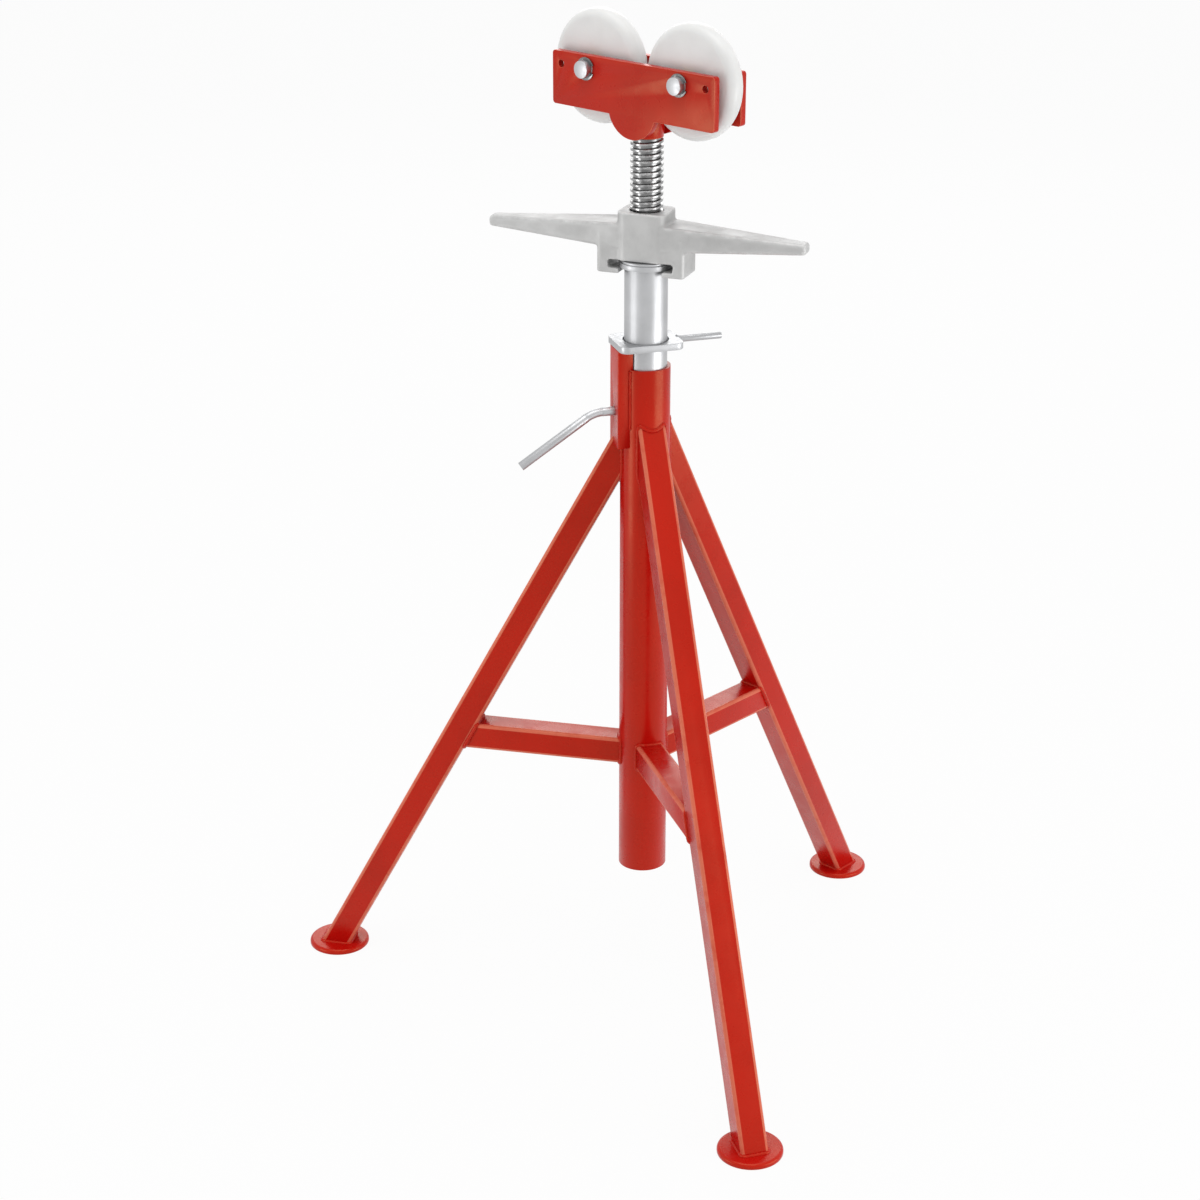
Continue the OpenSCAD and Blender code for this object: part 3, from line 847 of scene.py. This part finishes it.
class STAND_OT_jack_screw(bpy.types.Operator):
    """Cuts the thread of the jack screw and paints its flats with the head"""
    bl_idname = "stand.jack_screw"
    bl_label = "Jack Screw"

    def execute(self, context):
        sizes = context.scene.stand_sizes
        pitch, depth = sizes.thread_pitch, sizes.thread_depth
        flat, flank, ease = (share * pitch for share in THREAD_SHARES)
        steps = [
            (0, 0, flat), (depth - ease, 0, flank - ease / 2), (ease, 0, 1.5 * ease),
            (0, 0, flat - 2 * ease), (-ease, 0, 1.5 * ease), (ease - depth, 0, flank - ease / 2),
        ]
        thread = drawn_line("jack_screw_thread", (SCREW_R - depth, 0, SCREW_LOW.z - pitch), steps)
        turns = math.ceil((STEM_LOW.z - SCREW_LOW.z) / pitch) + 1
        apply_modifier(thread, "SCREW", axis="Z", angle=2 * math.pi, screw_offset=pitch,
                       iterations=turns, steps=sizes.thread_steps, render_steps=sizes.thread_steps)
        bpy.ops.object.mode_set(mode="EDIT")
        bpy.ops.mesh.select_all(action="SELECT")
        bpy.ops.mesh.remove_doubles(threshold=WELD_DISTANCE)
        bpy.ops.object.mode_set(mode="OBJECT")
        cut_level(thread, SCREW_LOW.z, upper=True)
        cut_level(thread, STEM_LOW.z, upper=False)
        bpy.ops.object.mode_set(mode="EDIT")
        bpy.ops.mesh.select_all(action="SELECT")
        bpy.ops.mesh.normals_make_consistent(inside=False)
        bpy.ops.object.mode_set(mode="OBJECT")
        mark_crests(thread)
        smooth(thread)
        dress(thread, finish_named("Oiled Steel"), "head", ("jack_screw",))
        tang = cad_copy("jack_screw", "jack_screw_tang")
        cut_level(tang, STEM_LOW.z + TANG_LIFT, upper=True)
        round_edges(tang, sizes.edge_round)
        dress(tang, finish_named("Red Paint"), "head")
        return {"FINISHED"}


class STAND_OT_head_plates(bpy.types.Operator):
    """Rounds and paints the head plates and welds them to the screw"""
    bl_idname = "stand.head_plates"
    bl_label = "Head Plates"

    def execute(self, context):
        sizes = context.scene.stand_sizes
        for end in ENDS:
            dress_copy("head_plate_" + end, sizes.edge_round, finish_named("Red Paint"), segments=3)
        reach = HEAD_HALF_GAP - sizes.seam_radius / 2
        aside = math.sqrt(SCREW_R ** 2 - reach ** 2) + sizes.seam_radius / 2
        low, high = STEM_LOW.z + HEAD_WELD_LOW, SCREW_HIGH.z - HEAD_WELD_HIGH
        seams = [upright_seam(side * aside, end * reach, low, high, sizes.bead_step)
                 for side in (-1, 1) for end in (-1, 1)]
        beads = weld_bead("head_welds", seams, sizes.bead_radius, closed=False, seed=11)
        dress(beads, finish_named("Red Paint"), "head")
        return {"FINISHED"}


class STAND_OT_rollers(bpy.types.Operator):
    """Rounds the rollers and finishes their bushes"""
    bl_idname = "stand.rollers"
    bl_label = "Rollers"

    def execute(self, context):
        sizes = context.scene.stand_sizes
        for side in SIDES:
            dress_copy("roller_" + side, sizes.edge_round, finish_named("Roller Nylon"), segments=3)
            paint_node("bush_" + side, finish_named("Bush Bronze"))
        return {"FINISHED"}


class STAND_OT_axles(bpy.types.Operator):
    """Rounds the axles and their rings"""
    bl_idname = "stand.axles"
    bl_label = "Axles"

    def execute(self, context):
        sizes = context.scene.stand_sizes
        for side in SIDES:
            dress_copy("axle_" + side, sizes.edge_round, finish_named("Plated Fittings"))
            for end in ENDS:
                node = "ring_" + side + "_" + end
                dress_copy(node, sizes.fine_round / 2, finish_named("Oiled Steel"))
        return {"FINISHED"}


class STAND_OT_stage(bpy.types.Operator):
    """Sets the floor, the lights, the world and the camera"""
    bl_idname = "stand.stage"
    bl_label = "Stage"

    def execute(self, context):
        scene = context.scene
        settings = scene.stand_stage
        scene.view_settings.view_transform = "Standard"
        bpy.ops.object.select_all(action="DESELECT")
        bpy.ops.mesh.primitive_circle_add(
            vertices=FLOOR_SIDES, radius=settings.floor_radius, fill_type="NGON")
        floor = context.active_object
        floor.name = "floor"
        floor.data.materials.append(floor_material())
        scene.world = white_world()
        lamp("left_box", settings.left_power)
        lamp("right_box", settings.right_power)
        lamp("top_light", settings.top_power)
        lamp("back_light", settings.back_power)
        data = bpy.data.cameras.new("photo_camera")
        data.sensor_width = FRAME_W
        data.lens = settings.lens
        camera = bpy.data.objects.new("photo_camera", data)
        scene.collection.objects.link(camera)
        camera.location = settings.camera_place
        camera.rotation_euler = (math.pi / 2 - settings.camera_drop, 0, settings.camera_turn)
        scene.camera = camera
        return {"FINISHED"}


def lamp(name, power):
    """A soft box that faces the axis of the stand and that the camera doesn't see."""
    place, aim_z, size = LAMPS[name]
    data = bpy.data.lights.new(name, "AREA")
    data.shape = "RECTANGLE"
    data.size, data.size_y = size
    data.energy = power
    obj = bpy.data.objects.new(name, data)
    bpy.context.scene.collection.objects.link(obj)
    obj.location = place
    obj.rotation_euler = (Vector((0, 0, aim_z)) - Vector(place)).to_track_quat("-Z", "Y").to_euler()
    obj.visible_camera = False


def white_seen(tree):
    """Mask that is 1 for what the camera sees, directly or in gloss and glass."""
    path = tree.nodes.new("ShaderNodeLightPath")
    either = add_node(tree, "ShaderNodeMath", {"operation": "MAXIMUM"})
    any_of = add_node(tree, "ShaderNodeMath", {"operation": "MAXIMUM"})
    tree.links.new(path.outputs["Is Camera Ray"], either.inputs[0])
    tree.links.new(path.outputs["Is Glossy Ray"], either.inputs[1])
    tree.links.new(either.outputs["Value"], any_of.inputs[0])
    tree.links.new(path.outputs["Is Transmission Ray"], any_of.inputs[1])
    return any_of.outputs["Value"]


def floor_material():
    """Pale floor that is white to the camera and keeps a soft shadow."""
    material = bpy.data.materials.new("Pale Floor")
    material.use_nodes = True
    tree = material.node_tree
    tree.nodes.clear()
    end = tree.nodes.new("ShaderNodeOutputMaterial")
    matt = add_node(tree, "ShaderNodeBsdfDiffuse", Color=FLOOR_GREY)
    glow = add_node(tree, "ShaderNodeEmission", Color=WHITE, Strength=1.0)
    share = add_node(tree, "ShaderNodeMath", {"operation": "MULTIPLY"})
    share.inputs[1].default_value = bpy.context.scene.stand_stage.floor_glow
    mix = tree.nodes.new("ShaderNodeMixShader")
    tree.links.new(white_seen(tree), share.inputs[0])
    tree.links.new(share.outputs["Value"], mix.inputs["Fac"])
    tree.links.new(matt.outputs["BSDF"], mix.inputs[1])
    tree.links.new(glow.outputs["Emission"], mix.inputs[2])
    tree.links.new(mix.outputs["Shader"], end.inputs["Surface"])
    return material


def white_world():
    """White background with a softer level of light on the stand."""
    world = bpy.data.worlds.new("White Studio")
    world.use_nodes = True
    tree = world.node_tree
    back = tree.nodes["Background"]
    back.inputs["Color"].default_value = WHITE
    ambient = bpy.context.scene.stand_stage.ambient
    level = add_node(tree, "ShaderNodeMapRange", To_Min=ambient, To_Max=WORLD_WHITE)
    tree.links.new(white_seen(tree), level.inputs["Value"])
    tree.links.new(level.outputs["Result"], back.inputs["Strength"])
    return world


OPERATORS = (
    STAND_OT_stage, STAND_OT_painted_frame, STAND_OT_weld_beads, STAND_OT_mast,
    STAND_OT_clamp, STAND_OT_lock, STAND_OT_jack_nut, STAND_OT_jack_screw,
    STAND_OT_head_plates, STAND_OT_rollers, STAND_OT_axles,
)


class STAND_PT_panel(bpy.types.Panel):
    """Steps that dress the stand, in order"""
    bl_label = "Pipe Support"
    bl_idname = "STAND_PT_panel"
    bl_space_type = "VIEW_3D"
    bl_region_type = "UI"
    bl_category = "Pipe Support"

    def draw(self, context):
        for operator in OPERATORS:
            self.layout.operator(operator.bl_idname)
        scene = context.scene
        for group in (scene.stand_sizes, scene.stand_finishes, scene.stand_stage):
            box = self.layout.box()
            for name in group.bl_rna.properties.keys():
                if name not in ("rna_type", "name"):
                    box.prop(group, name)


PROPERTY_GROUPS = {
    "stand_sizes": StandSizes, "stand_finishes": StandFinishes, "stand_stage": StandStage,
}
CLASSES = (*PROPERTY_GROUPS.values(), *OPERATORS, STAND_PT_panel)


def register():
    for cls in CLASSES:
        bpy.utils.register_class(cls)
    for name, group in PROPERTY_GROUPS.items():
        setattr(bpy.types.Scene, name, bpy.props.PointerProperty(type=group))


def unregister():
    for name in PROPERTY_GROUPS:
        delattr(bpy.types.Scene, name)
    for cls in reversed(CLASSES):
        bpy.utils.unregister_class(cls)


def main():
    register()
    bpy.ops.stand.stage()
    bpy.ops.stand.painted_frame()
    bpy.ops.stand.weld_beads()
    bpy.ops.stand.mast()
    bpy.ops.stand.clamp()
    bpy.ops.stand.lock()
    bpy.ops.stand.jack_nut()
    bpy.ops.stand.jack_screw()
    bpy.ops.stand.head_plates()
    bpy.ops.stand.rollers()
    bpy.ops.stand.axles()


if __name__ == "__main__":
    main()
